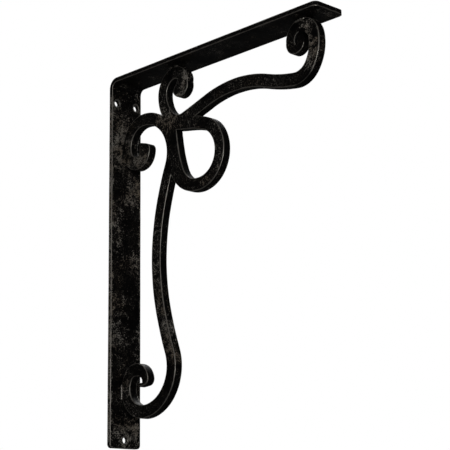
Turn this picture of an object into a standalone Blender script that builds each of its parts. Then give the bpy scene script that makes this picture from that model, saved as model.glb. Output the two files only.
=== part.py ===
"""Wrought iron shelf bracket: a flat bar bent into a right angle, with scrollwork in the angle.

Frame: metres, +Z up, the wall is the plane y = 0 and the bracket reaches out along -Y.
The origin is the middle of the back face of the wall leg.
"""

import math

import bmesh
import bpy
from mathutils import Matrix, Vector

INCH = 0.0254
MM = 0.001

# The bent flat bar
HEIGHT = 15 * INCH
REACH = 11.5 * INCH
BAR_WIDTH = 1.5 * INCH
BAR_THICKNESS = 3 / 16 * INCH
BEND_RADIUS = 6.0 * MM
FRONT_CORNER_RADIUS = 5.0 * MM
FOOT_CORNER_RADIUS = 3.6 * MM

# The screw holes of the wall leg
HOLE_RADIUS = 3.55 * MM
UPPER_HOLE_DROP = 25.8 * MM
UPPER_HOLE_SPREAD = 25.6 * MM
LOWER_HOLE_RISE = 7.9 * MM

# The scrollwork, cut from one plate as ribbons that run into each other
PLATE_THICKNESS = 9.0 * MM
RIBBON_WIDTH = 11.7 * MM
SEAT_GAP = 0.3 * MM
CHORD_RISE = 0.05 * MM

# Two places closer than this count as the same
NEAR = 0.05 * MM

# The scrollwork is drawn in the side view as (distance out from the wall, height above the lower
# end of the wall leg). A ribbon's run is a list of bends: length of ribbon, turn in degrees,
# positive anticlockwise. Each strand grows both ways from its waist.
TALL_WAIST = (56.3 * MM, 182.0 * MM)
TALL_UP_RUN = [(51.0, -13.6), (45.0, -8.9), (28.2, 41.6), (26.2, 34.6), (28.3, 38.9), (26.7, 59.0),
               (22.6, 52.6), (18.2, 67.9), (2.4, 5.0), (13.5, 67.0), (3.5, 12.0)]
TALL_DOWN_RUN = [(50.7, 13.6), (44.7, 7.3), (28.2, -40.5), (27.2, -36.9), (26.3, -35.3), (25.3, -56.9),
                 (24.7, -62.2), (15.9, -68.4), (3.0, -9.0), (12.4, -61.0)]

LONG_CREST = (171.3 * MM, 335.1 * MM)
LONG_OUT_RUN = [(43.8, -18.6), (35.0, 11.4), (24.0, 62.8), (30.2, 45.7), (21.4, 80.7), (17.5, 76.0),
                (4.5, 45.0)]
LONG_BACK_RUN = [(42.6, 18.0), (33.3, -2.4), (19.4, -55.8), (29.0, -45.4), (0.9, 0.0), (22.6, -64.0),
                 (20.0, -74.0), (4.5, -24.0), (4.5, -45.0)]
# The hook grows on its inner side as it turns over into the outer scroll's eye.
HOOK_SWELL = {"start": 134.0 * MM, "end": 150.0 * MM, "extra": 2.3 * MM}
OUTER_EYE = (252.2 * MM, 355.6 * MM, 11.05 * MM)
INNER_EYE = (92.9 * MM, 354.1 * MM, 10.8 * MM)
INNER_EYE_FLAT = (146.0, 6.2 * MM)

LOOP_FOOT = (79.0 * MM, 285.2 * MM)
LOOP_HEADING = -83.0
LOOP_RUN = [(30.5, 35.8), (10.7, 20.6), (18.4, 26.0), (15.4, 27.1), (15.8, 31.2), (18.7, 34.9),
            (13.5, 25.0), (8.8, 14.5), (11.5, 25.7), (24.8, 13.2), (23.6, -1.5)]
LEG_TOP = (79.7 * MM, 320.9 * MM)
LEG_HEADING = -85.0
LEG_RUN = [(5.0, 0.0), (27.4, 6.1), (24.8, 11.1), (13.0, 24.4), (6.0, 8.0)]

# Where the tall strand ends, its width changes over the last stretch and its outer edge turns back
# sharply. The upper end grows into a blunt eye, the lower end thins to a tip that curls back.
TAIL_TURN_RADIUS = 6.0 * MM
TAIL_TIP_THICKNESS = 2.3 * MM
UPPER_TAIL = {"turn": 79.0, "stretch": 36.0 * MM, "width": 14.5 * MM, "inner_run": 6.0 * MM, "tip": 9.5 * MM}
LOWER_TAIL = {"turn": -95.0, "stretch": 14.0 * MM, "width": 8.2 * MM, "inner_run": 4.2 * MM, "tip": 8.5 * MM}


def clear_scene():
    for item in list(bpy.data.objects):
        bpy.data.objects.remove(item, do_unlink=True)


def new_collection(name):
    group = bpy.data.collections.new(name)
    bpy.context.scene.collection.children.link(group)
    return group


def black_iron(name, colour, roughness):
    material = bpy.data.materials.new(name)
    material.use_nodes = True
    shader = material.node_tree.nodes["Principled BSDF"]
    shader.inputs["Base Color"].default_value = (*colour, 1.0)
    shader.inputs["Metallic"].default_value = 0.6
    shader.inputs["Roughness"].default_value = roughness
    return material


def arc_steps(radius, angle):
    """How many straight chords an arc needs to stay within the chord rise."""
    if abs(angle) < math.radians(0.5):
        return 1
    chord = math.sqrt(8 * abs(radius) * CHORD_RISE)
    return max(1, math.ceil(abs(radius * angle) / chord))


def follow_bends(start, heading, bends):
    """Walk along a run of bends: a list of (point, heading, length so far) down its middle."""
    point = Vector(start)
    heading = math.radians(heading)
    travelled = 0.0
    stations = [(point.copy(), heading, travelled)]
    for length, turn in bends:
        length, turn = length * MM, math.radians(turn)
        radius = length / turn if turn else math.inf
        steps = arc_steps(radius, turn)
        for _ in range(steps):
            chord_heading = heading + turn / steps / 2
            half_turn = abs(turn / steps / 2)
            chord = length / steps * (math.sin(half_turn) / half_turn if half_turn else 1.0)
            point = point + chord * Vector((math.cos(chord_heading), math.sin(chord_heading)))
            heading += turn / steps
            travelled += length / steps
            stations.append((point.copy(), heading, travelled))
    return stations


def ribbon_edges(stations, swell=None):
    """The left and right edge of a ribbon, whose left edge may swell between two lengths."""
    left, right = [], []
    for point, heading, travelled in stations:
        across = Vector((-math.sin(heading), math.cos(heading)))
        extra = 0.0
        if swell:
            share = (travelled - swell["start"]) / (swell["end"] - swell["start"])
            extra = swell["extra"] * min(1.0, max(0.0, share))
        left.append(point + across * (RIBBON_WIDTH / 2 + extra))
        right.append(point - across * RIBBON_WIDTH / 2)
    return left, right


def ribbon_outline(stations):
    """A plain ribbon as one closed outline."""
    left, right = ribbon_edges(stations)
    return left + right[::-1]


def strand_outline(first_half, second_half):
    """Two halves that leave the same point in opposite directions, as one closed outline."""
    left = first_half[1][::-1] + second_half[0][1:]
    right = first_half[0][::-1] + second_half[1][1:]
    return left + right[::-1]


def tail_edges(stations, tail):
    """Edges of a strand that changes width at its end and then turns back sharply."""
    side = math.copysign(1, tail["turn"])
    outer, inner = [], []
    full_length = stations[-1][2]
    for point, heading, travelled in stations:
        inward = side * Vector((-math.sin(heading), math.cos(heading)))
        share = max(0.0, 1 - (full_length - travelled) / tail["stretch"])
        width = RIBBON_WIDTH + (tail["width"] - RIBBON_WIDTH) * share
        outer.append(point - inward * RIBBON_WIDTH / 2)
        inner.append(outer[-1] + inward * width)
    inner.append(inner[-1] + tail["inner_run"] * Vector((math.cos(heading), math.sin(heading))))
    centre = outer[-1] + inward * TAIL_TURN_RADIUS
    steps = arc_steps(TAIL_TURN_RADIUS, math.radians(tail["turn"]))
    for step in range(1, steps + 1):
        turned = heading + math.radians(tail["turn"]) * step / steps
        inward = side * Vector((-math.sin(turned), math.cos(turned)))
        outer.append(centre - inward * TAIL_TURN_RADIUS)
    outer.append(outer[-1] + tail["tip"] * Vector((math.cos(turned), math.sin(turned))))
    inner.append(outer[-1] + inward * TAIL_TIP_THICKNESS)
    return (inner, outer) if side > 0 else (outer, inner)


def eye_outline(centre_out, centre_up, radius, flat=None):
    """A round scroll eye, with a flat of the given direction and distance where it ends."""
    steps = arc_steps(radius, math.tau)
    outline = []
    for step in range(steps):
        angle = math.tau * step / steps
        offset = Vector((math.cos(angle), math.sin(angle))) * radius
        if flat:
            normal = Vector((math.cos(math.radians(flat[0])), math.sin(math.radians(flat[0]))))
            excess = offset.dot(normal) - flat[1]
            if excess > 0:
                offset -= normal * excess
        outline.append(Vector((centre_out, centre_up)) + offset)
    return outline


def plate_mesh(name, outline, material, group):
    """A flat piece of the scrollwork plate: a filled outline, as a mesh."""
    curve = bpy.data.curves.new(name, "CURVE")
    curve.dimensions = "2D"
    curve.fill_mode = "BOTH"
    curve.extrude = PLATE_THICKNESS / 2
    spline = curve.splines.new("POLY")
    spline.points.add(len(outline) - 1)
    for point, place in zip(spline.points, outline):
        point.co = (-place.x, place.y, 0.0, 1.0)
    spline.use_cyclic_u = True
    source = bpy.data.objects.new(name + "_outline", curve)
    group.objects.link(source)
    side_view = Matrix(((0, 0, 1, 0), (1, 0, 0, 0), (0, 1, 0, -HEIGHT / 2), (0, 0, 0, 1)))
    source.matrix_world = side_view
    evaluated = source.evaluated_get(bpy.context.evaluated_depsgraph_get())
    mesh = bpy.data.meshes.new_from_object(evaluated)
    weld = bmesh.new()
    weld.from_mesh(mesh)
    bmesh.ops.remove_doubles(weld, verts=weld.verts, dist=0.00001)
    bmesh.ops.recalc_face_normals(weld, faces=weld.faces)
    weld.to_mesh(mesh)
    weld.free()
    piece = bpy.data.objects.new(name, mesh)
    group.objects.link(piece)
    piece.matrix_world = side_view
    bpy.data.objects.remove(source, do_unlink=True)
    mesh.materials.clear()
    mesh.materials.append(material)
    return piece


def hide_tool(item):
    item.hide_render = True
    item.display_type = "WIRE"


def boolean(target, tool, operation):
    step = target.modifiers.new(tool.name, "BOOLEAN")
    step.object = tool
    step.operation = operation
    step.solver = "EXACT"
    hide_tool(tool)


def box_tool(name, low, high, group):
    bpy.ops.mesh.primitive_cube_add(size=1.0)
    box = bpy.context.object
    box.name = name
    box.scale = [h - l for l, h in zip(low, high)]
    box.location = [(h + l) / 2 for l, h in zip(low, high)]
    move_to(box, group)
    return box


def move_to(item, group):
    for owner in list(item.users_collection):
        owner.objects.unlink(item)
    group.objects.link(item)


def bar_profile():
    """Side view of the bent bar as (y, z) points, anticlockwise seen from +X."""
    top = HEIGHT / 2
    outer_radius = BAR_THICKNESS + BEND_RADIUS
    centre = Vector((-outer_radius, top - outer_radius))
    steps = 10

    def bend(radius, first, last):
        points = []
        for step in range(steps + 1):
            angle = math.radians(first + (last - first) * step / steps)
            points.append(centre + radius * Vector((math.cos(angle), math.sin(angle))))
        return points

    lower = [Vector((-BAR_THICKNESS, -top)), Vector((0.0, -top))]
    front = [Vector((-REACH, top)), Vector((-REACH, top - BAR_THICKNESS))]
    return lower + bend(outer_radius, 0, 90) + front + bend(BEND_RADIUS, 90, 0)


def build_bar(material, group, tools):
    """The flat bar: bent profile drawn across its width, corners rounded, screw holes drilled."""
    mesh = bpy.data.meshes.new("bracket_flange")
    shape = bmesh.new()
    outline = [shape.verts.new((-BAR_WIDTH / 2, p.x, p.y)) for p in bar_profile()]
    side = shape.faces.new(outline)
    swept = bmesh.ops.extrude_face_region(shape, geom=[side])
    moved = [v for v in swept["geom"] if isinstance(v, bmesh.types.BMVert)]
    bmesh.ops.translate(shape, verts=moved, vec=(BAR_WIDTH, 0, 0))
    bmesh.ops.recalc_face_normals(shape, faces=shape.faces)
    for at_front, radius in ((True, FRONT_CORNER_RADIUS), (False, FOOT_CORNER_RADIUS)):
        corners = [edge for edge in shape.edges if is_end_corner(edge, at_front)]
        bmesh.ops.bevel(shape, geom=corners, offset=radius, segments=6, profile=0.5, affect="EDGES")
    shape.to_mesh(mesh)
    shape.free()
    mesh.materials.append(material)
    bar = bpy.data.objects.new("bracket_flange", mesh)
    group.objects.link(bar)
    for name, across, up in hole_places():
        bpy.ops.mesh.primitive_cylinder_add(vertices=32, radius=HOLE_RADIUS, depth=4 * BAR_THICKNESS,
                                            location=(across, 0, up), rotation=(math.pi / 2, 0, 0))
        drill = bpy.context.object
        drill.name = name
        move_to(drill, tools)
        boolean(bar, drill, "DIFFERENCE")
    return bar


def is_end_corner(edge, at_front):
    """True for the short edges through the bar's thickness at its front end or its foot."""
    a, b = (v.co for v in edge.verts)
    if abs(a.x - b.x) > NEAR or abs(abs(a.x) - BAR_WIDTH / 2) > NEAR:
        return False
    if at_front:
        return abs(a.y + REACH) < NEAR and abs(b.y + REACH) < NEAR
    return abs(a.z + HEIGHT / 2) < NEAR and abs(b.z + HEIGHT / 2) < NEAR


def hole_places():
    upper = HEIGHT / 2 - UPPER_HOLE_DROP
    lower = LOWER_HOLE_RISE - HEIGHT / 2
    return [("drill_upper_left", -UPPER_HOLE_SPREAD / 2, upper),
            ("drill_upper_right", UPPER_HOLE_SPREAD / 2, upper),
            ("drill_lower", 0.0, lower)]


def build_scrollwork(material, group, tools):
    """All ribbons and eyes joined into one plate, seated against both legs of the bar."""
    tall_strand = strand_outline(tail_edges(follow_bends(TALL_WAIST, -90, TALL_DOWN_RUN), LOWER_TAIL),
                                 tail_edges(follow_bends(TALL_WAIST, 90, TALL_UP_RUN), UPPER_TAIL))
    long_strand = strand_outline(ribbon_edges(follow_bends(LONG_CREST, 180, LONG_BACK_RUN)),
                                 ribbon_edges(follow_bends(LONG_CREST, 0, LONG_OUT_RUN), HOOK_SWELL))
    outlines = {
        "long_strand": long_strand,
        "outer_eye": eye_outline(*OUTER_EYE),
        "inner_eye": eye_outline(*INNER_EYE, INNER_EYE_FLAT),
        "loop": ribbon_outline(follow_bends(LOOP_FOOT, LOOP_HEADING, LOOP_RUN)),
        "loop_leg": ribbon_outline(follow_bends(LEG_TOP, LEG_HEADING, LEG_RUN)),
    }
    scrollwork = plate_mesh("scrollwork", tall_strand, material, group)
    for name, outline in outlines.items():
        boolean(scrollwork, plate_mesh(name, outline, material, tools), "UNION")
    half_width, top = BAR_WIDTH, HEIGHT / 2
    wall_side = box_tool("wall_leg_seat", (-half_width, -BAR_THICKNESS - SEAT_GAP, -top),
                         (half_width, BAR_WIDTH, top), tools)
    shelf_side = box_tool("shelf_leg_seat", (-half_width, -REACH, top - BAR_THICKNESS - SEAT_GAP),
                          (half_width, 0, top + BAR_WIDTH), tools)
    boolean(scrollwork, wall_side, "DIFFERENCE")
    boolean(scrollwork, shelf_side, "DIFFERENCE")
    return scrollwork


def main():
    clear_scene()
    pieces = new_collection("Wrought iron bracket")
    tools = new_collection("Cutters")
    bar = build_bar(black_iron("Bar iron", (0.018, 0.017, 0.016), 0.45), pieces, tools)
    scrolls = build_scrollwork(black_iron("Scroll iron", (0.022, 0.020, 0.018), 0.5), pieces, tools)
    frame = bpy.data.objects.new("bracket", None)
    pieces.objects.link(frame)
    for piece in (bar, scrolls):
        piece.parent = frame


main()
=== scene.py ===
"""Looks of the scrolled iron shelf bracket.

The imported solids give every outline. Each of the two plates is made again from its outline, with
rounded arrises, a slightly uneven hand-finished surface and an aged black finish. Weld beads join
them. Lengths are metres; the wall is the plane y = 0 and the bracket reaches out along -Y.
"""

import math
from functools import partial

import bmesh
import bpy
import numpy as np
from mathutils import Matrix, Vector, noise
from mathutils.geometry import delaunay_2d_cdt


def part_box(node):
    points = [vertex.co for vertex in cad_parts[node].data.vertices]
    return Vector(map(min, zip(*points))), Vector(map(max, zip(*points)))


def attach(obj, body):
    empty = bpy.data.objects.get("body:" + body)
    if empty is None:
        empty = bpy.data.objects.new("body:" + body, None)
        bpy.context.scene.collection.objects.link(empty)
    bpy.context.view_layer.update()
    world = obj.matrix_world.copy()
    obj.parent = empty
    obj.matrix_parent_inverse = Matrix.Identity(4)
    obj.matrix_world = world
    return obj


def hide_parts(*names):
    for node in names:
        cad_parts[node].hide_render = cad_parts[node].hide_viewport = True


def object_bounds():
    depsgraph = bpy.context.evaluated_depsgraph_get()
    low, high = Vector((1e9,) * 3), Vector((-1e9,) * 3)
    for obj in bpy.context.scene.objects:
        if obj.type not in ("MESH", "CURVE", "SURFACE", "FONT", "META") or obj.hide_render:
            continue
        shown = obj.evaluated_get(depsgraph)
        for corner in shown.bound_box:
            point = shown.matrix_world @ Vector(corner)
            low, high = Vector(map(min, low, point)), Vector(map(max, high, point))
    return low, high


bl_info = {
    "name": "Scrolled Iron Bracket",
    "version": (1, 0, 0),
    "blender": (4, 5, 0),
    "location": "3D View > Sidebar > Bracket",
    "description": "Dresses the bracket's solids with worn iron plates, weld beads and a studio",
    "category": "Object",
}

MM = 0.001
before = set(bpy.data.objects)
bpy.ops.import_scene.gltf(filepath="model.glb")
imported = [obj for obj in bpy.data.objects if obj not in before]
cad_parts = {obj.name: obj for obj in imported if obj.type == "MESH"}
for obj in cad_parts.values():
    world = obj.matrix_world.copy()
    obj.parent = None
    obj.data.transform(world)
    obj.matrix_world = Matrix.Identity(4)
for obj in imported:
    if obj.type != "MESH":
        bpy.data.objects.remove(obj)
CAD_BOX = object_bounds()


# Colour and node helpers

# Sockets of a mix node: its factor, its two numbers, its two colours, and its colour output
FACTOR, NUMBER_A, NUMBER_B, COLOUR_A, COLOUR_B = 0, 2, 3, 6, 7
MIXED_COLOUR = 2


def linear(hex_colour):
    """An sRGB hex colour as linear red, green and blue."""
    channels = [int(hex_colour[place:place + 2], 16) / 255 for place in (1, 3, 5)]
    return tuple(c / 12.92 if c <= 0.04045 else ((c + 0.055) / 1.055) ** 2.4 for c in channels)


def add_node(tree, kind, settings=None, links=None, output=0):
    """Adds a node, sets its options and inputs, links its inputs, and gives one of its outputs."""
    made = tree.nodes.new("ShaderNode" + kind)
    for name, value in (settings or {}).items():
        if isinstance(name, str) and hasattr(made, name):
            setattr(made, name, value)
        else:
            made.inputs[name].default_value = value
    for name, source in (links or {}).items():
        tree.links.new(source, made.inputs[name])
    return made.outputs[output] if made.outputs else None


# Outlines of the solids

# Points nearer than this are one point, and a point within this of a plane lies on it
SAME_POINT = 0.002 * MM
ON_PLANE = 0.02 * MM

# A smooth outline is made from edges no shorter than this, and keeps corners sharper than this
SHORTEST_EDGE = 0.3 * MM
SHARP_CORNER = math.radians(27.0)

# The furthest that a mitred corner reaches, for each unit that its sides move
LONGEST_MITRE = 1.35

# How many points are compared with all the others at once
BATCH = 400


class BarSizes:
    """Sizes of the bent flat bar, measured on its solid."""

    def __init__(self):
        low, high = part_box("bracket_flange")
        self.width = high.x - low.x
        self.bottom = low.z
        self.top = high.z
        self.reach = high.y - low.y
        points = [vertex.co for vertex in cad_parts["bracket_flange"].data.vertices]
        front_end = [co.z for co in points if abs(co.y - low.y) < ON_PLANE]
        self.thickness = max(front_end) - min(front_end)
        wall_face = [co.z for co in points if abs(co.y) < ON_PLANE]
        self.outer_bend = self.top - max(wall_face)


def outline_loops(node, plane_axis, level, across, upward):
    """Closed outlines of a solid's flat face, as 2D points with the material on the left."""
    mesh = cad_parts[node].data
    mesh.calc_loop_triangles()
    places = {}
    corners = []
    for vertex in mesh.vertices:
        key = tuple(round(c / SAME_POINT) for c in vertex.co)
        corners.append(places.setdefault(key, vertex.index))
    follows = {}
    for triangle in mesh.loop_triangles:
        ids = [corners[i] for i in triangle.vertices]
        if any(abs(mesh.vertices[i].co[plane_axis] - level) > ON_PLANE for i in ids):
            continue
        for start, end in zip(ids, ids[1:] + ids[:1]):
            if start in follows.get(end, ()):
                follows[end].remove(start)
            else:
                follows.setdefault(start, []).append(end)
    loops = []
    while any(follows.values()):
        start = next(i for i, ends in follows.items() if ends)
        loop, here = [], start
        while follows.get(here):
            loop.append(mesh.vertices[here].co)
            here = follows[here].pop()
            if here == start:
                break
        if len(loop) > 2:
            loops.append(np.array([(co.dot(across), co.dot(upward)) for co in loop]))
    return loops


def drop_close_points(loop, least):
    """An outline without the points that stand closer than least to the one before."""
    kept = [loop[0]]
    for point in loop[1:]:
        if np.linalg.norm(point - kept[-1]) > least:
            kept.append(point)
    if np.linalg.norm(kept[-1] - kept[0]) <= least:
        kept.pop()
    return np.array(kept)


def between(t, start, end, first, last):
    """The point at t on the line that is at first when t is start, and at last when it is end."""
    return (end - t) / (end - start) * first + (t - start) / (end - start) * last


def smooth_loop(loop, spacing):
    """A facetted outline drawn again as a smooth curve that keeps its real corners.

    The curve runs through the outline's points, as a centripetal Catmull-Rom spline.
    """
    loop = drop_close_points(loop, SHORTEST_EDGE)
    count = len(loop)
    before, after = loop - np.roll(loop, 1, 0), np.roll(loop, -1, 0) - loop
    cross = before[:, 0] * after[:, 1] - before[:, 1] * after[:, 0]
    corner = np.abs(np.arctan2(cross, (before * after).sum(1))) > SHARP_CORNER
    points = []
    for i in range(count):
        p1, p2 = loop[i], loop[(i + 1) % count]
        p0 = 2 * p1 - p2 if corner[i] else loop[i - 1]
        p3 = 2 * p2 - p1 if corner[(i + 1) % count] else loop[(i + 2) % count]
        knots = [0.0]
        for a, b in ((p0, p1), (p1, p2), (p2, p3)):
            knots.append(knots[-1] + math.sqrt(max(np.linalg.norm(b - a), 1e-9)))
        t0, t1, t2, t3 = knots
        steps = max(1, round(np.linalg.norm(p2 - p1) / spacing))
        for step in range(steps):
            t = t1 + (t2 - t1) * step / steps
            a1 = between(t, t0, t1, p0, p1)
            a2 = between(t, t1, t2, p1, p2)
            a3 = between(t, t2, t3, p2, p3)
            b1 = between(t, t0, t2, a1, a2)
            b2 = between(t, t1, t3, a2, a3)
            points.append(between(t, t1, t2, b1, b2))
    return np.array(points)


def inward_normals(loop):
    """At each point of an outline, the direction into the material and how far a mitre reaches."""
    ahead = np.roll(loop, -1, 0) - loop
    ahead /= np.linalg.norm(ahead, axis=1)[:, None]
    edge_normal = np.stack([-ahead[:, 1], ahead[:, 0]], 1)
    summed = edge_normal + np.roll(edge_normal, 1, 0)
    length = np.linalg.norm(summed, axis=1)
    mitre = np.minimum(2 / np.maximum(length, 0.5), LONGEST_MITRE)
    return summed / length[:, None], mitre


def grow(loop, distance):
    """Moves an outline a little outwards."""
    inward, mitre = inward_normals(loop)
    return loop - inward * (distance * mitre)[:, None]


def inside_loops(points, loops):
    """Even-odd test of many points against closed outlines."""
    inside = np.zeros(len(points), bool)
    x, y = points[:, 0], points[:, 1]
    for loop in loops:
        for (x1, y1), (x2, y2) in zip(loop, np.roll(loop, -1, 0)):
            if y1 == y2:
                continue
            crosses = (y1 > y) != (y2 > y)
            inside ^= crosses & (x < (x2 - x1) * (y - y1) / (y2 - y1) + x1)
    return inside


def distance_to_points(points, targets):
    """Distance of each point to the nearest target."""
    nearest = np.full(len(points), np.inf)
    for start in range(0, len(points), BATCH):
        offset = points[start:start + BATCH, None] - targets[None]
        nearest[start:start + BATCH] = np.sqrt((offset ** 2).sum(2).min(1))
    return nearest


# Plates with rounded arrises

# Spacing of the points on a plate's flat faces, the height of a row of even triangles there, and
# the least distances, in spacings, that the even points keep from the rim and from extra points
CAP_SPACING = 2.2 * MM
ROW_HEIGHT = 0.866
CLEAR_OF_RIM = 0.55
CLEAR_OF_EXTRA = 0.4
EXTRA_CLEAR_OF_RIM = 0.25 * MM

# Rings that keep a flat face flat beside its arris: distance inside it, and from its worn line.
# A ring on the narrow side does the same there, and steps round the arris join them.
FLAT_RINGS = ((1.4 * MM, 1.9 * MM), (0.5 * MM, 1.0 * MM))
SIDE_RING = 0.6 * MM
ARRIS_STEPS = 4

# Rings less far in than this share of the arris belong to the narrow side
SIDE_SHARE = 0.35

# Rings stop at this share of the way to the middle of a narrow place
SHARE_OF_ROOM = 0.72


def room_inside(loops, inwards):
    """For each outline point, the radius of the largest disc that fits inside against it."""
    every = np.concatenate(loops)
    rooms = []
    for loop, inward in zip(loops, inwards):
        room = np.empty(len(loop))
        for start in range(0, len(loop), BATCH):
            offset = every[None] - loop[start:start + BATCH, None]
            depth = (offset * inward[start:start + BATCH, None]).sum(2)
            squared = (offset ** 2).sum(2)
            radius = np.where(depth > 1e-7, squared / (2 * np.maximum(depth, 1e-7)), 1.0)
            room[start:start + BATCH] = radius.min(1)
        for _ in range(3):
            average = (np.roll(room, 1) + room + np.roll(room, -1)) / 3
            room = np.minimum(room, average + 0.05 * MM)
        rooms.append(room)
    return rooms


def cap_triangles(rings, extra):
    """Fills the inside of outlines with even triangles; returns all 2D points and the triangles."""
    ring_points = np.concatenate(rings)
    low, high = ring_points.min(0), ring_points.max(0)
    xs = np.arange(low[0], high[0], CAP_SPACING)
    ys = np.arange(low[1], high[1], CAP_SPACING * ROW_HEIGHT)
    grid = np.array([(x + (row % 2) * CAP_SPACING / 2, y) for row, y in enumerate(ys) for x in xs])
    grid = grid[inside_loops(grid, rings)]
    grid = grid[distance_to_points(grid, ring_points) > CLEAR_OF_RIM * CAP_SPACING]
    if len(extra):
        grid = grid[distance_to_points(grid, extra) > CLEAR_OF_EXTRA * CAP_SPACING]
        extra = extra[inside_loops(extra, rings)]
        extra = extra[distance_to_points(extra, ring_points) > EXTRA_CLEAR_OF_RIM]
        grid = np.concatenate([grid, extra])
    points = np.concatenate([ring_points, grid])
    edges, first = [], 0
    for ring in rings:
        count = len(ring)
        edges += [(first + i, first + (i + 1) % count) for i in range(count)]
        first += count
    scale = 1 / MM
    made = delaunay_2d_cdt([Vector(p) * scale for p in points], edges, [], 0, 1e-6)
    found, triangles, origins = made[0], made[2], made[3]
    back = [origin[0] if origin else None for origin in origins]
    centres = [sum((found[i] for i in t), Vector((0, 0))) / 3 / scale for t in triangles]
    kept = []
    for triangle, inside in zip(triangles, inside_loops(np.array(centres), rings)):
        ids = [back[i] for i in triangle]
        if inside and None not in ids and len(set(ids)) == 3:
            kept.append(ids)
    return points, kept


def plate_profile(thickness, arris):
    """Rings of a plate from its front to its back: inset, depth, distance from the arris."""
    front = [(arris + inside, 0.0, distance) for inside, distance in FLAT_RINGS]
    for step in range(ARRIS_STEPS + 1):
        angle = math.pi / 2 * step / ARRIS_STEPS
        along = abs(angle - math.pi / 4) * arris
        front.append((arris * (1 - math.sin(angle)), arris * (1 - math.cos(angle)), along))
    front.append((0.0, arris + SIDE_RING, 0.4 * arris + 1.5 * SIDE_RING))
    middle = [(0.0, thickness / 2, thickness / 2)]
    back = [(inset, thickness - depth, distance) for inset, depth, distance in reversed(front)]
    return front + middle + back


def keep_value(mesh, name, values):
    """Stores one number at each point of a mesh, for the finish to read."""
    kept = mesh.attributes.get(name) or mesh.attributes.new(name, "FLOAT", "POINT")
    kept.data.foreach_set("value", np.asarray(values, np.float32))


def build_plate(name, loops, thickness, arris, place, spread=None, extra=(), sink=None):
    """A plate with rounded arrises from smooth outlines.

    place turns across, upward and depth into a point of the frame. spread widens the arris of
    each loop. extra points are added to the flat faces, and sink gives how deep these are
    engraved at each 2D point. The mesh keeps each point's distance from the nearest arris, and
    whether it is on the narrow side.
    """
    spread = spread or [1.0] * len(loops)
    normals = [inward_normals(loop) for loop in loops]
    rooms = room_inside(loops, [inward for inward, _ in normals])
    profile = plate_profile(thickness, arris)
    vertices, faces, distances, sides, ring_starts = [], [], [], [], []

    def rings_at(inset):
        rings = []
        for loop, (inward, mitre), room, wider in zip(loops, normals, rooms, spread):
            reach = np.minimum(inset * wider * mitre, SHARE_OF_ROOM * room)
            rings.append(loop + inward * reach[:, None])
        return rings

    for inset, depth, distance in profile:
        ring_starts.append(len(vertices))
        on_side = 1.0 if inset < SIDE_SHARE * arris else 0.0
        for ring in rings_at(inset):
            vertices += [(u, v, depth) for u, v in ring]
            distances += [distance] * len(ring)
            sides += [on_side] * len(ring)
    for upper, lower in zip(ring_starts, ring_starts[1:]):
        first = 0
        for loop in loops:
            for i in range(len(loop)):
                here, ahead = first + i, first + (i + 1) % len(loop)
                faces.append((upper + here, upper + ahead, lower + ahead, lower + here))
            first += len(loop)
    points, triangles = cap_triangles(rings_at(profile[0][0]), extra)
    on_ring = sum(len(loop) for loop in loops)
    inner = points[on_ring:]
    away = distance_to_points(inner, points[:on_ring]) + profile[0][2]
    sunk = sink(inner) if sink else np.zeros(len(inner))
    for start, depth, inward in ((ring_starts[0], 0.0, 1), (ring_starts[-1], thickness, -1)):
        first = len(vertices)
        vertices += [(u, v, depth + inward * deep) for (u, v), deep in zip(inner, sunk)]
        distances += list(away)
        sides += [0.0] * len(inner)
        for triangle in triangles:
            faces.append([start + i if i < on_ring else first + i - on_ring for i in triangle])
    mesh = bpy.data.meshes.new(name)
    mesh.from_pydata([place(*vertex) for vertex in vertices], [], faces)
    keep_value(mesh, "arris_distance", distances)
    keep_value(mesh, "side_face", sides)
    tidy = bmesh.new()
    tidy.from_mesh(mesh)
    bmesh.ops.dissolve_degenerate(tidy, dist=0.005 * MM, edges=tidy.edges)
    bmesh.ops.recalc_face_normals(tidy, faces=tidy.faces)
    tidy.to_mesh(mesh)
    tidy.free()
    return mesh


def roughen(mesh, height, wavelength, seed):
    """Moves the surface in and out a little, as a hand-finished forging is uneven.

    Slow waves carry most of the height, and waves of 0.3 of their length lie over them.
    """
    shift = Vector((seed, 0.0, 0.0))
    moved = []
    for vertex in mesh.vertices:
        slow = noise.noise(vertex.co / wavelength + shift)
        quick = noise.noise(vertex.co / (wavelength * 0.3) - shift)
        moved.append(vertex.co - vertex.normal * height * (0.75 * slow + 0.3 * quick))
    for vertex, co in zip(mesh.vertices, moved):
        vertex.co = co


def points_of(mesh):
    """A mesh's points, as rows of x, y and z."""
    co = np.empty(len(mesh.vertices) * 3, np.float32)
    mesh.vertices.foreach_get("co", co)
    return co.reshape(-1, 3)


def mark_rubbed_and_shaded(mesh, strokes):
    """Keeps how much each point is rubbed or painted with shade, as soft strokes between two
    points.

    A stroke is a name, its start and end, its radius and its strength, which is full in the inner
    quarter of the radius. Above zero it lays speckles bare. Below zero it paints shade: the paint
    stays plain black there, with no bright line on the arrises. The stronger stroke wins.
    """
    co = points_of(mesh)
    rubbed = np.zeros(len(co))
    for _, start, end, radius, strength in strokes:
        start, along = np.array(start), np.array(end) - np.array(start)
        share = np.clip((co - start) @ along / max(along @ along, 1e-12), 0, 1)
        distance = np.linalg.norm(co - start - share[:, None] * along, axis=1)
        mark = strength * np.clip(1.3 * (1 - distance / radius), 0, 1)
        rubbed = np.where(np.abs(mark) > np.abs(rubbed), mark, rubbed)
    keep_value(mesh, "rubbed", rubbed)


def finish_piece(name, mesh, material, node=None):
    """Shades a mesh smooth, gives it its finish and lets it ride on the bracket."""
    for polygon in mesh.polygons:
        polygon.use_smooth = True
    piece = bpy.data.objects.new(name, mesh)
    bpy.context.scene.collection.objects.link(piece)
    mesh.materials.append(material)
    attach(piece, "root")
    if node:
        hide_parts(node)


# Materials

def new_material(name):
    """An empty node material."""
    material = bpy.data.materials.new(name)
    material.use_nodes = True
    material.node_tree.nodes.clear()
    return material


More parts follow.
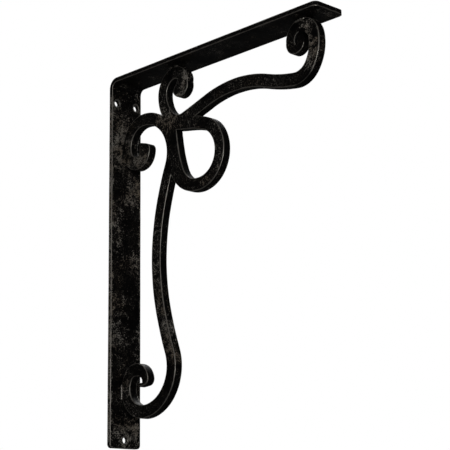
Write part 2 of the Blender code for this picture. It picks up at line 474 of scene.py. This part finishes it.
def aged_black_iron(name, finish, patch_width, rub):
    """Mild steel under oil-blackened paint, rubbed back by hand.

    The paint is near black with a low sheen. Where it is rubbed, warm grey steel shows through in
    speckles that crowd together in soft patches, and as a thin line along the arrises.
    patch_width is the width of the patches, and a higher rub lays more of the steel bare.
    """
    material = new_material(name)
    node = partial(add_node, material.node_tree)
    place = node("TexCoord", output="Object")
    # The rubbed mark holds the rubbing strokes and, below zero, the painted shade
    arris, rubbed, side = [node("Attribute", {"attribute_name": kept}, output="Fac")
                           for kept in ("arris_distance", "rubbed", "side_face")]

    # Each pattern's width, detail and roughness. Real speckles and pits are under half a
    # millimetre, and are drawn as coarse as they need to show.
    patterns = {
        "patches": (patch_width, 4.0, 0.6),
        "speckles": (finish.speckle, 1.0, 0.6),
        "blotches": (3.6 * finish.speckle, 2.0, 0.5),
        "chips": (7 * MM, 4.0, 0.6),
        "browning": (30 * MM, 2.0, 0.5),
        "pits": (1.5 * MM, 2.0, 0.5),
        "hammer marks": (6 * MM, 2.0, 0.5),
    }
    noises = {}
    for pattern, (width, detail, roughness) in patterns.items():
        noises[pattern] = node("TexNoise", {"Scale": 1 / width, "Detail": detail,
                                            "Roughness": roughness}, {"Vector": place})
    grain = node("Mix", {FACTOR: 0.42},
                 {NUMBER_A: noises["speckles"], NUMBER_B: noises["blotches"]})

    # How worn the paint is: in patches, more under the rubbing strokes, less under the strokes of
    # painted shade, and less on the narrow sides.
    # Even the most worn place keeps some paint.
    worn = node("MapRange", {"From Min": 0.40, "From Max": 0.66, "To Min": rub - 0.25,
                             "To Max": rub + 0.3}, {"Value": noises["patches"]})
    worn = node("Math", {"operation": "ADD"}, {0: worn, 1: rubbed})
    worn = node("Math", {"operation": "MULTIPLY_ADD", 1: -0.34}, {0: side, 2: worn})
    worn = node("Math", {"operation": "MINIMUM", 1: 0.85}, {0: worn})

    # Wear brings the grain's highest speckles out of the paint
    bare = node("Math", {"operation": "MULTIPLY_ADD", 1: 0.19}, {0: worn, 2: grain})
    bare = node("MapRange", {"From Min": 0.59, "From Max": 0.76}, {"Value": bare})

    # Faint speckles lie in and round the patches, but not where a stroke of painted shade keeps
    # the paint black
    outside_painted_shade = node("MapRange", {"From Min": -0.6, "From Max": 0.0}, {"Value": rubbed})
    near_patch = node("MapRange", {"From Min": 0.38, "From Max": 0.58},
                      {"Value": noises["patches"]})
    faint = node("Math", {"operation": "MULTIPLY_ADD", 1: -0.07}, {0: side, 2: noises["speckles"]})
    faint = node("MapRange", {"From Min": 0.49, "From Max": 0.72, "To Max": 0.2}, {"Value": faint})
    faint = node("Math", {"operation": "MULTIPLY"}, {0: faint, 1: near_patch})
    faint = node("Math", {"operation": "MULTIPLY"}, {0: faint, 1: outside_painted_shade})
    bare = node("Math", {"operation": "MAXIMUM"}, {0: bare, 1: faint})

    # The bright line along the arrises is 0.35 to 1.1 mm wide, where the paint has chipped
    line_width = node("MapRange", {"From Min": 0.34, "From Max": 0.60, "To Min": 0.35 * MM,
                                   "To Max": 1.1 * MM}, {"Value": noises["chips"]})
    edge = node("Math", {"operation": "DIVIDE"}, {0: arris, 1: line_width})
    edge = node("MapRange", {"From Min": 0.35, "From Max": 1.0, "To Min": 1.0, "To Max": 0.0},
                {"Value": edge})
    # Painted shade puts out the bright arris line
    edge = node("Math", {"operation": "MULTIPLY"}, {0: edge, 1: outside_painted_shade})

    # The bare steel is warm grey, browned in broad clouds, and brighter along the arrises
    browned = node("MapRange", {"From Min": 0.45, "From Max": 0.62}, {"Value": noises["browning"]})
    steel = node("Mix", {"data_type": "RGBA", COLOUR_A: (*finish.rubbed_metal, 1),
                         COLOUR_B: (*finish.brown_metal, 1)}, {FACTOR: browned}, MIXED_COLOUR)
    paint = node("Mix", {"data_type": "RGBA", COLOUR_A: (*finish.paint, 1)},
                 {FACTOR: bare, COLOUR_B: steel}, MIXED_COLOUR)
    colour = node("Mix", {"data_type": "RGBA", COLOUR_B: (*finish.edge_metal, 1)},
                  {FACTOR: edge, COLOUR_A: paint}, MIXED_COLOUR)
    metal = node("Math", {"operation": "MULTIPLY", 1: finish.metallic}, {0: bare})
    metal = node("Math", {"operation": "MAXIMUM"}, {0: edge, 1: metal})

    # Its low sheen varies with the grain, over small pits and broader hammer marks
    sheen = node("MapRange", {"From Min": 0.35, "From Max": 0.7, "To Min": finish.roughness - 0.06,
                              "To Max": finish.roughness + 0.14}, {"Value": grain})
    height = node("Math", {"operation": "MULTIPLY_ADD", 1: 3.0},
                  {0: noises["hammer marks"], 2: noises["pits"]})
    bump = node("Bump", {"Strength": 0.6, "Distance": 0.16 * MM}, {"Height": height})
    shader = node("BsdfPrincipled", {"Specular IOR Level": finish.specular},
                  {"Base Color": colour, "Roughness": sheen, "Metallic": metal, "Normal": bump})
    node("OutputMaterial", links={"Surface": shader})
    return material


def matt_floor_paint(colour):
    """Matt emulsion: rough, pale, and a little self-lit so that it stays even."""
    material = new_material("Matt floor paint")
    shader = add_node(material.node_tree, "BsdfPrincipled",
                      {"Base Color": (*colour, 1), "Roughness": 0.9,
                       "Emission Color": (*colour, 1), "Emission Strength": 0.8})
    add_node(material.node_tree, "OutputMaterial", links={"Surface": shader})
    return material


# What a user can change

class FinishSettings(bpy.types.PropertyGroup):
    """Colours and scale of the aged black finish."""

    paint: bpy.props.FloatVectorProperty(
        name="Paint", description="Oil-blackened paint on sound surfaces", subtype="COLOR", size=3,
        min=0, max=1, default=linear("#080707"))
    rubbed_metal: bpy.props.FloatVectorProperty(
        name="Rubbed metal", description="Warm grey steel where the paint is rubbed away",
        subtype="COLOR", size=3, min=0, max=1, default=linear("#b4aea4"))
    brown_metal: bpy.props.FloatVectorProperty(
        name="Browned metal", description="Steel with an old brown oil film", subtype="COLOR",
        size=3, min=0, max=1, default=linear("#9a8e7f"))
    edge_metal: bpy.props.FloatVectorProperty(
        name="Edge metal", description="Brighter steel along the worn arrises", subtype="COLOR",
        size=3, min=0, max=1, default=linear("#a8a39b"))
    speckle: bpy.props.FloatProperty(
        name="Speckle", description="Size of the rubbed speckles, drawn coarse enough to show",
        default=1.5 * MM, min=0.5 * MM, max=10 * MM, unit="LENGTH")
    roughness: bpy.props.FloatProperty(
        name="Roughness", description="Middle roughness of the paint", default=0.42, min=0.1,
        max=1, subtype="FACTOR")
    specular: bpy.props.FloatProperty(
        name="Specular level", description="Strength of the paint's low sheen", default=0.1,
        min=0, max=1, subtype="FACTOR")
    metallic: bpy.props.FloatProperty(
        name="Metallic", description="How metallic the rubbed speckles are", default=0.4, min=0,
        max=1, subtype="FACTOR")


class ShapeSettings(bpy.types.PropertyGroup):
    """How softly the plates are finished."""

    bar_arris: bpy.props.FloatProperty(
        name="Bar arris", description="Radius of the flat bar's rolled edges", default=0.45 * MM,
        min=0.2 * MM, max=2 * MM, unit="LENGTH")
    scroll_arris: bpy.props.FloatProperty(
        name="Scroll arris", description="Radius of the scrollwork's dressed edges",
        default=0.5 * MM, min=0.2 * MM, max=3 * MM, unit="LENGTH")
    point_spacing: bpy.props.FloatProperty(
        name="Point spacing", description="Distance between points along the outlines",
        default=1.3 * MM, min=0.6 * MM, max=5 * MM, unit="LENGTH")
    scale_build_up: bpy.props.FloatProperty(
        name="Build-up", default=0.6 * MM, min=0, max=1 * MM, unit="LENGTH",
        description="Forge scale and paint on the scrollwork's edges; the bar's have half of it")
    unevenness: bpy.props.FloatProperty(
        name="Unevenness", description="How deep the surface waves in and out",
        default=0.14 * MM, min=0, max=1 * MM, unit="LENGTH")


class StudioSettings(bpy.types.PropertyGroup):
    """Floor and lights."""

    floor: bpy.props.FloatVectorProperty(
        name="Floor", description="Colour of the pale floor", subtype="COLOR", size=3, min=0, max=1,
        default=linear("#eceae6"))
    floor_drop: bpy.props.FloatProperty(
        name="Floor drop", description="How far the floor lies below the bracket", default=1.0,
        min=0.1, max=3, unit="LENGTH")
    ambient: bpy.props.FloatProperty(
        name="Ambient", description="Strength of the light from all round", default=0.04, min=0,
        max=2)
    key_power: bpy.props.FloatProperty(
        name="Key light", description="Power of the soft box beside the camera", default=6.0,
        min=0, max=500, unit="POWER")
    side_power: bpy.props.FloatProperty(
        name="Side light", description="Power of the soft box that faces the scrollwork",
        default=1.4, min=0, max=500, unit="POWER")
    far_power: bpy.props.FloatProperty(
        name="Far lights", default=8.0, min=0, max=500, unit="POWER",
        description="Power of each soft box that lights the sides the camera doesn't see")


# The bent flat bar

# Radii of the bar's rounded end corners
FOOT_CORNER = 3.6 * MM
FRONT_CORNER = 5.0 * MM
CORNER_STEPS = 8

# The wall leg's screw holes: how many, an outline larger than any of them, points round each, and
# how much wider than an arris their worn chamfers are
HOLE_COUNT = 3
HOLE_LIMIT = 12 * MM
HOLE_POINTS = 36
HOLE_CHAMFER = 2.4

# Strokes where the bar is rubbed: name, start, end, radius, strength
RUBBED_BAR = [
    ("foot of the wall leg", (-0.010, -0.005, -0.176), (0.014, -0.005, -0.168), 0.026, 0.75),
    ("above the foot", (-0.012, -0.005, -0.080), (-0.008, -0.005, -0.055), 0.022, 0.55),
    ("right edge above the foot", (0.016, -0.005, -0.105), (0.016, -0.005, -0.070), 0.012, 0.45),
    ("middle of the wall leg", (-0.013, -0.005, 0.008), (-0.010, -0.005, 0.044), 0.015, 0.5),
    ("above the middle", (0.006, -0.005, 0.066), (0.013, -0.005, 0.080), 0.017, 0.75),
    ("below the middle", (0.011, -0.005, -0.008), (0.012, -0.005, 0.004), 0.012, 0.55),
    ("beside the upper scroll", (-0.010, -0.005, 0.112), (-0.002, -0.005, 0.138), 0.024, 0.8),
    ("inside corner", (-0.010, -0.006, 0.176), (0.012, -0.006, 0.176), 0.012, 0.5),
    ("wall leg, left side", (-0.0205, -0.0025, -0.183), (-0.0205, -0.0025, 0.170), 0.0052, 1.5),
    ("wall leg, right side", (0.0205, -0.0025, -0.183), (0.0205, -0.0025, 0.170), 0.0052, 1.5),
    ("front end of the shelf leg", (-0.008, -0.284, 0.186), (0.008, -0.284, 0.186), 0.014, 0.45),
    ("upper left hole", (-0.0128, -0.005, 0.1647), (-0.0128, -0.005, 0.1647), 0.009, 0.6),
    ("upper right hole", (0.0128, -0.005, 0.1647), (0.0128, -0.005, 0.1647), 0.008, 0.4),
    ("lower hole", (0.0, -0.005, -0.1826), (0.0, -0.005, -0.1826), 0.009, 0.5),
]


def rounded_rectangle(width, length):
    """Outline of the flat bar laid out straight, anticlockwise, with rounded ends."""
    near, far = FOOT_CORNER, FRONT_CORNER
    corners = [(width / 2 - near, near, -90, near), (width / 2 - far, length - far, 0, far),
               (far - width / 2, length - far, 90, far), (near - width / 2, near, 180, near)]
    points = []
    for across, along, first, radius in corners:
        for step in range(CORNER_STEPS + 1):
            angle = math.radians(first + 90 * step / CORNER_STEPS)
            points.append((across + radius * math.cos(angle), along + radius * math.sin(angle)))
    return np.array(points)


def circle(centre, radius):
    """A clockwise circle, for a hole."""
    angles = -np.linspace(0, 2 * math.pi, HOLE_POINTS, endpoint=False)
    return np.array(centre) + radius * np.stack([np.cos(angles), np.sin(angles)], 1)


def even_loop(loop, spacing):
    """Adds points on long straight stretches."""
    points = []
    for start, end in zip(loop, np.roll(loop, -1, 0)):
        steps = max(1, round(np.linalg.norm(end - start) / spacing))
        points += [start + (end - start) * step / steps for step in range(steps)]
    return np.array(points)


class BRACKET_OT_bent_bar(bpy.types.Operator):
    """Make the flat bar that is bent into the wall leg and the shelf leg"""

    bl_idname = "bracket.bent_bar"
    bl_label = "Bent bar"

    def execute(self, context):
        shape = context.scene.bracket_shape
        bar = BarSizes()
        middle_bend = bar.outer_bend - bar.thickness / 2
        wall_length = bar.top - bar.bottom - bar.outer_bend
        bend_length = middle_bend * math.pi / 2
        shelf_length = bar.reach - bar.outer_bend

        def bend(across, along, depth):
            if along <= wall_length:
                return (-across, -depth, bar.bottom + along)
            if along <= wall_length + bend_length:
                angle = (along - wall_length) / middle_bend
                radius = bar.outer_bend - depth
                return (-across, -bar.outer_bend + radius * math.cos(angle),
                        bar.top - bar.outer_bend + radius * math.sin(angle))
            beyond = along - wall_length - bend_length
            return (-across, -bar.outer_bend - beyond, bar.top - depth)

        outline = rounded_rectangle(bar.width, wall_length + bend_length + shelf_length)
        loops = [even_loop(outline, shape.point_spacing)]
        faces = outline_loops("bracket_flange", 1, -bar.thickness, Vector((-1, 0, 0)),
                              Vector((0, 0, 1)))
        for hole in [face for face in faces if np.ptp(face[:, 1]) < HOLE_LIMIT]:
            centre = (hole.min(0) + hole.max(0)) / 2
            radius = np.ptp(hole, axis=0).mean() / 2
            loops.append(circle((centre[0], centre[1] - bar.bottom), radius))
        if len(loops) != 1 + HOLE_COUNT:
            raise RuntimeError(f"found {len(loops) - 1} screw holes, not {HOLE_COUNT}")
        loops = [grow(loop, shape.scale_build_up / 2) for loop in loops]
        mesh = build_plate("bent_bar", loops, bar.thickness, shape.bar_arris, bend,
                           spread=[1.0] + [HOLE_CHAMFER] * HOLE_COUNT)
        roughen(mesh, height=shape.unevenness * 0.8, wavelength=34 * MM, seed=3.0)
        mark_rubbed_and_shaded(mesh, RUBBED_BAR)
        material = aged_black_iron("Oil-blackened flat bar, rubbed", context.scene.bracket_finish,
                                   patch_width=26 * MM, rub=-0.04)
        finish_piece("bent_bar", mesh, material, "bracket_flange")
        return {"FINISHED"}


# The scrollwork plate

# Engraved line that carries the outer scroll's inner edge on into its eye: an arc in the side view,
# from its first to its last angle, with a steep outer wall and a sloping inner one
GROOVE_CENTRE = (0.2586, 0.1668)
GROOVE_RADIUS = 6.2 * MM
GROOVE_FIRST, GROOVE_LAST = 88.0, 222.0
GROOVE_FADE = 12.0
GROOVE_WIDTH = 1.5 * MM
GROOVE_DEPTH = 1.1 * MM
OUTER_WALL = 0.35 * GROOVE_WIDTH
INNER_WALL = 0.9 * GROOVE_WIDTH

# The bright rim beside the engraved line, and the painted shade that keeps its hollow plain black
GROOVE_RIM = 0.55 * GROOVE_WIDTH
HOLLOW_EDGE = 0.3 * GROOVE_WIDTH
HOLLOW_PAINTED_SHADE = -1.5

# Strokes where the scrollwork is rubbed. Below zero a stroke keeps the place plain black without
# its arris line, and below the front weld, below the hook and in the hollow next to the eye that is
# painted shade. They lie in its middle plane, so that both faces get them, and their radius has to
# be more than the 4.5 mm from there to a face.
RUBBED_AND_SHADED_SCROLLS = [
    ("hook at the front", (0, -0.2725, 0.166), (0, -0.270, 0.142), 0.015, 0.72),
    ("hook's outer side", (0, -0.284, 0.166), (0, -0.281, 0.138), 0.009, 0.75),
    ("top of the front scroll", (0, -0.272, 0.178), (0, -0.266, 0.178), 0.012, 0.8),
    # Painted shade below the front weld
    ("painted shade under the front weld", (0, -0.2505, 0.1795), (0, -0.2550, 0.1800), 0.0066, -2.0),
    ("dark patch of the hook", (0, -0.2750, 0.1680), (0, -0.2775, 0.1655), 0.0066, -2.6),
    # Painted shade below the hook
    ("painted shade under the hook", (0, -0.268, 0.1285), (0, -0.254, 0.1235), 0.008, -0.9),
    ("inner scroll's curl", (0, -0.098, 0.170), (0, -0.094, 0.160), 0.014, 0.75),
    ("where the strands cross", (0, -0.080, 0.132), (0, -0.066, 0.136), 0.016, 0.9),
    ("upper scroll's curl", (0, -0.018, 0.100), (0, -0.040, 0.096), 0.015, 0.75),
    ("upper scroll's back", (0, -0.010, 0.108), (0, -0.016, 0.130), 0.010, 0.5),
    ("loop, outer side", (0, -0.150, 0.090), (0, -0.146, 0.065), 0.014, 0.25),
    ("bottom of the loop", (0, -0.130, 0.054), (0, -0.112, 0.052), 0.014, 0.3),
    ("tall strand above the lower scroll", (0, -0.064, -0.050), (0, -0.082, -0.105), 0.014, 0.75),
    ("tall strand, upper part", (0, -0.054, 0.030), (0, -0.056, -0.030), 0.012, 0.4),
    ("tall strand's outer side", (0, -0.075, 0.026), (0, -0.070, 0.010), 0.008, 1.0),
    ("lower scroll", (0, -0.012, -0.120), (0, -0.014, -0.140), 0.010, 0.3),
    # Painted shade in the hollow next to the eye, where the hook's inner arris is in shadow
    ("painted shade in the hollow beside the eye", (0, -0.2605, 0.1735), (0, -0.2640, 0.1655), 0.0063, -3.5),
]


def groove_points():
    """Points on and beside the engraved line, so that the mesh can follow it."""
    rows = []
    for offset in np.linspace(-1.0, 1.0, 9) * GROOVE_WIDTH:
        for angle in np.radians(np.arange(GROOVE_FIRST, GROOVE_LAST, 4.0)):
            radius = GROOVE_RADIUS + offset
            rows.append((GROOVE_CENTRE[0] + radius * math.cos(angle),
                         GROOVE_CENTRE[1] + radius * math.sin(angle)))
    return np.array(rows)


def groove_place(points):
    """For each 2D point, how far outside the engraved line it is, and how full the line is."""
    offset = points - np.array(GROOVE_CENTRE)
    angle = np.degrees(np.arctan2(offset[:, 1], offset[:, 0])) % 360
    fullness = np.minimum(angle - GROOVE_FIRST, GROOVE_LAST - angle) / GROOVE_FADE
    return np.linalg.norm(offset, axis=1) - GROOVE_RADIUS, np.clip(fullness, 0, 1)


def groove_depth(points):
    """How deep the engraved line is at each 2D point."""
    outside, fullness = groove_place(points)
    wall = np.where(outside > 0, outside / OUTER_WALL, -outside / INNER_WALL)
    return GROOVE_DEPTH * fullness * np.clip(1 - wall, 0, 1)


def mark_groove(mesh):
    """Wears the engraved line's outer rim bright, and paints shade into its hollow, which stays
    plain black.
    """
    co = points_of(mesh)
    outside, fullness = groove_place(np.stack([-co[:, 1], co[:, 2]], 1))
    rim = np.where(fullness > 0.3, np.abs(outside - GROOVE_RIM), 1.0)
    # The hollow is painted shade: plain black paint with no speckles and no arris line
    hollow = (fullness > 0) & (outside < HOLLOW_EDGE) & (outside > -GROOVE_WIDTH)
    for name, change in (("arris_distance", lambda old: np.minimum(old, rim)),
                         ("rubbed", lambda old: np.where(hollow, HOLLOW_PAINTED_SHADE, old))):
        values = np.empty(len(co), np.float32)
        mesh.attributes[name].data.foreach_get("value", values)
        keep_value(mesh, name, change(values))


class BRACKET_OT_scroll_plate(bpy.types.Operator):
    """Make the scrollwork plate with its dressed edges"""

    bl_idname = "bracket.scroll_plate"
    bl_label = "Scroll plate"

    def execute(self, context):
        shape = context.scene.bracket_shape
        low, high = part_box("scrollwork")
        found = outline_loops("scrollwork", 0, low.x, Vector((0, -1, 0)), Vector((0, 0, 1)))
        loops = [smooth_loop(loop, shape.point_spacing) for loop in found if len(loop) > 8]
        loops = [grow(loop, shape.scale_build_up) for loop in loops]

        def place(outward, upward, depth):
            return (low.x + depth, -outward, upward)

        mesh = build_plate("scroll_plate", loops, high.x - low.x, shape.scroll_arris, place,
                           extra=groove_points(), sink=groove_depth)
        roughen(mesh, height=shape.unevenness, wavelength=22 * MM, seed=11.0)
        mark_rubbed_and_shaded(mesh, RUBBED_AND_SHADED_SCROLLS)
        mark_groove(mesh)
        material = aged_black_iron("Oil-blackened scrollwork, rubbed", context.scene.bracket_finish,
                                   patch_width=18 * MM, rub=0.03)
        finish_piece("scroll_plate", mesh, material, "scrollwork")
        return {"FINISHED"}


# Weld beads

# Each bead: its name, its two ends in the side view (out, up), and how bright it is worn
WELDS = [
    ("lower scroll", (4.9 * MM, -0.1435), (4.9 * MM, -0.1275), 1.0),
    ("upper scroll", (4.9 * MM, 0.1040), (4.9 * MM, 0.1220), 0.0),
    ("inner scroll", (0.0770, 0.1860), (0.0910, 0.1860), 0.6),
    ("outer scroll", (0.2520, 0.1838), (0.2655, 0.1848), 1.0),
]
RUBBED_WELDS = [("lower beads", (0, -0.005, -0.15), (0, -0.005, -0.12), 0.03, 0.9)]

# A bead's middle radius, its ripples' depth as a share of that and their length, how far it
# wanders from its line, and how many rings and sides it has
WELD_RADIUS = 1.25 * MM
RIPPLE_DEPTH = 0.14
RIPPLE_LENGTH = 3.0 * MM
WANDER = 0.3 * MM
BEAD_RINGS, BEAD_SIDES = 28, 12


def bead_mesh(tidy, first, last, seed):
    """One weld bead: a rounded ridge with the ripples of a moving puddle and blunt ends."""
    length = (last - first).length
    side_one = Vector((1, 0, 0))
    side_two = ((last - first) / length).cross(side_one)
    previous = None
    for ring in range(BEAD_RINGS + 1):
        share = ring / BEAD_RINGS
        ripple = 1 + RIPPLE_DEPTH * math.sin(2 * math.pi * share * length / RIPPLE_LENGTH + seed)
        blunt = math.sqrt(max(0.0, 1 - abs(2 * share - 1) ** 5))
        wander = noise.noise(Vector((share * 4, seed, 0)))
        radius = max(WELD_RADIUS * ripple * blunt * (1 + 0.2 * wander), 0.05 * MM)
        middle = first.lerp(last, share) + side_two * wander * WANDER
        loop = []
        for side in range(BEAD_SIDES):
            angle = 2 * math.pi * side / BEAD_SIDES
            offset = side_one * math.cos(angle) + side_two * math.sin(angle)
            loop.append(tidy.verts.new(middle + offset * radius))
        if previous:
            for side in range(BEAD_SIDES):
                after = (side + 1) % BEAD_SIDES
                tidy.faces.new((previous[side], previous[after], loop[after], loop[side]))
        else:
            tidy.faces.new(loop)
        previous = loop
    tidy.faces.new(previous)


class BRACKET_OT_weld_beads(bpy.types.Operator):
    """Make the short weld beads that hold the scrollwork to both legs"""

    bl_idname = "bracket.weld_beads"
    bl_label = "Weld beads"

    def execute(self, context):
        low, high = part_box("scrollwork")
        tidy = bmesh.new()
        distances = []
        for number, (_, start, end, bright) in enumerate(WELDS):
            # A bright bead is worn as an arris is, and a dull one as a place well away from it
            from_arris = (1.6 - 1.55 * bright) * MM
            for side in (low.x - 0.5 * WELD_RADIUS, high.x + 0.5 * WELD_RADIUS):
                first, last = (Vector((side, -outward, upward)) for outward, upward in (start, end))
                bead_mesh(tidy, first, last, seed=number * 2.7 + side)
                distances += [from_arris] * (len(tidy.verts) - len(distances))
        bmesh.ops.recalc_face_normals(tidy, faces=tidy.faces)
        mesh = bpy.data.meshes.new("weld_beads")
        tidy.to_mesh(mesh)
        tidy.free()
        keep_value(mesh, "arris_distance", distances)
        keep_value(mesh, "side_face", np.zeros(len(distances)))
        mark_rubbed_and_shaded(mesh, RUBBED_WELDS)
        material = aged_black_iron("Oil-blackened weld metal", context.scene.bracket_finish,
                                   patch_width=12 * MM, rub=0.2)
        finish_piece("weld_beads", mesh, material)
        return {"FINISHED"}


# Camera, lights and floor

# The photograph's camera: a direction round the bracket in degrees, its distance and its framing
CAMERA_AZIMUTH = -43.7527
CAMERA_ELEVATION = -13.2938
CAMERA_ROLL = -0.6964
CAMERA_DISTANCE = 1.36193
CAMERA_SIDE = 0.031483
CAMERA_RISE = 0.017723
CAMERA_TARGET = Vector((0.0, -0.105833, 0.0))
CAMERA_LENS = 112.2756

# Each square soft box: its name, its place, its side, and the setting that gives its power. The
# far ones stand behind the wall plane, so they light only the sides that the camera doesn't see.
SOFT_BOXES = [
    ("Key soft box", (-0.98, -1.30, -0.12), 0.30, "key_power"),
    ("Side soft box", (-1.5, -0.35, 0.6), 0.9, "side_power"),
    ("Far side soft box", (1.4, 0.6, 0.75), 0.9, "far_power"),
    ("Back soft box", (0.3, 1.5, 0.8), 0.9, "far_power"),
    ("Top soft box", (0.3, 0.5, 1.6), 1.0, "far_power"),
]
LIGHTS_AIM = Vector((0, -0.12, 0.02))
FLOOR_SIDE = 60.0


def add_camera():
    """The camera at the photograph's viewing angle."""
    azimuth, elevation, roll = map(math.radians, (CAMERA_AZIMUTH, CAMERA_ELEVATION, CAMERA_ROLL))
    back = Vector((math.sin(azimuth) * math.cos(elevation),
                   -math.cos(azimuth) * math.cos(elevation), math.sin(elevation)))
    right = Vector((math.cos(azimuth), math.sin(azimuth), 0))
    up = right.cross(-back)
    camera = bpy.data.cameras.new("Camera")
    camera.lens = CAMERA_LENS
    camera.sensor_width = 36
    camera.clip_start = 0.01
    camera.dof.use_dof = False
    holder = bpy.data.objects.new("Camera", camera)
    bpy.context.scene.collection.objects.link(holder)
    place = CAMERA_TARGET + back * CAMERA_DISTANCE + right * CAMERA_SIDE + up * CAMERA_RISE
    x_axis = right * math.cos(roll) + up * math.sin(roll)
    y_axis = up * math.cos(roll) - right * math.sin(roll)
    rotation = Matrix((x_axis, y_axis, back)).transposed()
    holder.matrix_world = Matrix.Translation(place) @ rotation.to_4x4()
    bpy.context.scene.camera = holder


def add_soft_box(name, place, side, power):
    """A square area light that faces the bracket."""
    light = bpy.data.lights.new(name, "AREA")
    light.size = side
    light.energy = power
    holder = bpy.data.objects.new(name, light)
    bpy.context.scene.collection.objects.link(holder)
    holder.location = place
    holder.rotation_mode = "QUATERNION"
    holder.rotation_quaternion = (LIGHTS_AIM - Vector(place)).to_track_quat("-Z", "Y")


def add_backdrop(ambient):
    """A white surround for the eye that gives only a soft low light to the bracket."""
    world = bpy.data.worlds.new("White surround")
    world.use_nodes = True
    world.node_tree.nodes.clear()
    node = partial(add_node, world.node_tree)
    seen = node("LightPath", output="Is Camera Ray")
    strength = node("MapRange", {"To Min": ambient, "To Max": 1.0}, {"Value": seen})
    surround = node("Background", {"Color": (1, 1, 1, 1)}, {"Strength": strength})
    node("OutputWorld", links={"Surface": surround})
    bpy.context.scene.world = world


def add_floor(drop, colour):
    """A wide pale floor, below the bracket, that takes no part in lighting it."""
    low, _ = CAD_BOX
    bpy.ops.mesh.primitive_plane_add(size=FLOOR_SIDE, location=(0, 0, low.z - drop))
    floor = bpy.context.object
    floor.name = "floor"
    floor.data.materials.append(matt_floor_paint(colour))
    floor.visible_diffuse = False
    floor.visible_glossy = False


class BRACKET_OT_studio(bpy.types.Operator):
    """Make the camera, the soft lights, the white surround and the pale floor"""

    bl_idname = "bracket.studio"
    bl_label = "Studio"

    def execute(self, context):
        studio = context.scene.bracket_studio
        context.scene.view_settings.view_transform = "Standard"
        add_camera()
        add_backdrop(studio.ambient)
        add_floor(studio.floor_drop, studio.floor)
        for name, place, side, setting in SOFT_BOXES:
            add_soft_box(name, place, side, getattr(studio, setting))
        return {"FINISHED"}


class BRACKET_PT_panel(bpy.types.Panel):
    """Lists the bracket's settings and pieces in the sidebar"""

    bl_label = "Scrolled iron bracket"
    bl_idname = "BRACKET_PT_panel"
    bl_space_type = "VIEW_3D"
    bl_region_type = "UI"
    bl_category = "Bracket"

    def draw(self, context):
        scene = context.scene
        for group in (scene.bracket_shape, scene.bracket_finish, scene.bracket_studio):
            box = self.layout.box()
            for name in group.__annotations__:
                box.prop(group, name)
        for operator in PIECES:
            self.layout.operator(operator.bl_idname)


PIECES = (BRACKET_OT_bent_bar, BRACKET_OT_scroll_plate, BRACKET_OT_weld_beads, BRACKET_OT_studio)
CLASSES = (FinishSettings, ShapeSettings, StudioSettings, *PIECES, BRACKET_PT_panel)


def register():
    for entry in CLASSES:
        bpy.utils.register_class(entry)
    bpy.types.Scene.bracket_finish = bpy.props.PointerProperty(type=FinishSettings)
    bpy.types.Scene.bracket_shape = bpy.props.PointerProperty(type=ShapeSettings)
    bpy.types.Scene.bracket_studio = bpy.props.PointerProperty(type=StudioSettings)


def unregister():
    del bpy.types.Scene.bracket_studio
    del bpy.types.Scene.bracket_shape
    del bpy.types.Scene.bracket_finish
    for entry in reversed(CLASSES):
        bpy.utils.unregister_class(entry)


def main():
    register()
    bpy.ops.bracket.bent_bar()
    bpy.ops.bracket.scroll_plate()
    bpy.ops.bracket.weld_beads()
    bpy.ops.bracket.studio()


if __name__ == "__main__":
    main()
